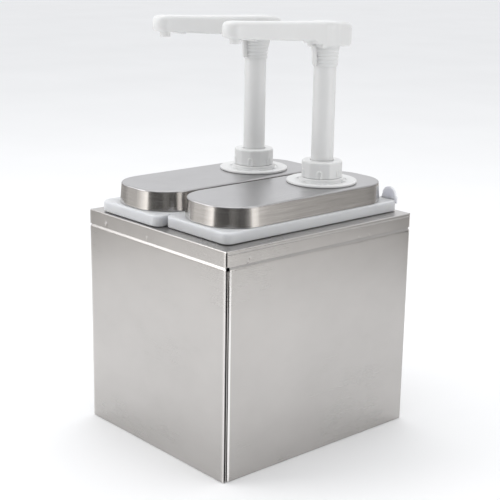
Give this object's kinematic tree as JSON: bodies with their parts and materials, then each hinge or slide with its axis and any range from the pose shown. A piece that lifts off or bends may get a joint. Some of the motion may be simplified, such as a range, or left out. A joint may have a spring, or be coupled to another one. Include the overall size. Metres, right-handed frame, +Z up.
{
  "type": "condiment pump dispenser",
  "caption": "Square sheet-steel counter-top housing holding white lift-out jars with oblong steel lids and plunger pumps whose spouts reach forward, for dispensing sauces.",
  "frame": {"origin": "centre of the housing's base, on the counter", "axes": "+Z up, -Y towards the user, where the spouts point, +X to the user's right"},
  "size_m": [0.226, 0.26, 0.442],
  "materials": {
    "housing_steel": "satin stainless sheet, fine grain",
    "lid_steel": "pressed stainless sheet, brushed along its length",
    "jar_plastic": "milky translucent polyethylene",
    "pump_polymer": "moulded white polypropylene, satin",
    "seal_rubber": "food-grade seal rubber",
    "inner_steel": "polished stainless wire and balls"
  },
  "bodies": {
    "housing": {"front_panel": "housing_steel", "rear_panel": "housing_steel", "left_panel": "housing_steel", "right_panel": "housing_steel", "base_tray": "housing_steel", "top_frame": "housing_steel"},
    "left_jar": {"left_jar": "jar_plastic"},
    "left_lid_and_pump": {"left_lid": "lid_steel", "left_pump_flange": "pump_polymer", "left_collar_nut": "pump_polymer", "left_stem_guide": "pump_polymer", "left_pump_barrel": "pump_polymer", "left_lock_ring": "pump_polymer", "left_foot_valve": "pump_polymer", "left_dip_tube": "pump_polymer", "left_return_spring": "inner_steel"},
    "left_inlet_ball": {"left_inlet_ball": "inner_steel"},
    "left_piston": {"left_piston": "pump_polymer", "left_piston_seal": "seal_rubber"},
    "left_outlet_ball": {"left_outlet_ball": "inner_steel"},
    "left_head_and_stem": {"left_pump_stem": "pump_polymer", "left_pump_head": "pump_polymer", "left_spout_nozzle": "pump_polymer"},
    "right_jar": {"right_jar": "jar_plastic"},
    "right_lid_and_pump": {"right_lid": "lid_steel", "right_pump_flange": "pump_polymer", "right_collar_nut": "pump_polymer", "right_stem_guide": "pump_polymer", "right_pump_barrel": "pump_polymer", "right_lock_ring": "pump_polymer", "right_foot_valve": "pump_polymer", "right_dip_tube": "pump_polymer", "right_return_spring": "inner_steel"},
    "right_inlet_ball": {"right_inlet_ball": "inner_steel"},
    "right_piston": {"right_piston": "pump_polymer", "right_piston_seal": "seal_rubber"},
    "right_outlet_ball": {"right_outlet_ball": "inner_steel"},
    "right_head_and_stem": {"right_pump_stem": "pump_polymer", "right_pump_head": "pump_polymer", "right_spout_nozzle": "pump_polymer"}
  },
  "joints": [
    {"name": "left_jar_lift", "type": "slide", "parent": "housing", "child": "left_jar", "axis": [0, 0, 1], "range_m": [0, 0.2]},
    {"name": "left_lid_lift", "type": "slide", "parent": "left_jar", "child": "left_lid_and_pump", "axis": [0, 0, 1], "range_m": [0, 0.22]},
    {"name": "left_pump_press", "type": "slide", "parent": "left_lid_and_pump", "child": "left_piston", "axis": [0, 0, -1], "range_m": [0, 0.075], "stiffness_N_per_m": 110, "springref_m": -0.06, "deforming": ["left_return_spring"]},
    {"name": "left_head_swivel", "type": "hinge", "parent": "left_piston", "child": "left_head_and_stem", "pos_m": [-0.04875, 0.047, 0.4], "axis": [0, 0, 1], "range_deg": [-170, 14]},
    {"name": "left_inlet_valve", "type": "slide", "parent": "left_lid_and_pump", "child": "left_inlet_ball", "axis": [0, 0, 1], "range_m": [0, 0.003]},
    {"name": "left_outlet_valve", "type": "slide", "parent": "left_piston", "child": "left_outlet_ball", "axis": [0, 0, 1], "range_m": [0, 0.003]},
    {"name": "right_jar_lift", "type": "slide", "parent": "housing", "child": "right_jar", "axis": [0, 0, 1], "range_m": [0, 0.2]},
    {"name": "right_lid_lift", "type": "slide", "parent": "right_jar", "child": "right_lid_and_pump", "axis": [0, 0, 1], "range_m": [0, 0.22]},
    {"name": "right_pump_press", "type": "slide", "parent": "right_lid_and_pump", "child": "right_piston", "axis": [0, 0, -1], "range_m": [0, 0.075], "stiffness_N_per_m": 110, "springref_m": -0.06, "deforming": ["right_return_spring"]},
    {"name": "right_head_swivel", "type": "hinge", "parent": "right_piston", "child": "right_head_and_stem", "pos_m": [0.04875, 0.057, 0.4], "axis": [0, 0, 1], "range_deg": [-14, 170]},
    {"name": "right_inlet_valve", "type": "slide", "parent": "right_lid_and_pump", "child": "right_inlet_ball", "axis": [0, 0, 1], "range_m": [0, 0.003]},
    {"name": "right_outlet_valve", "type": "slide", "parent": "right_piston", "child": "right_outlet_ball", "axis": [0, 0, 1], "range_m": [0, 0.003]}
  ]
}
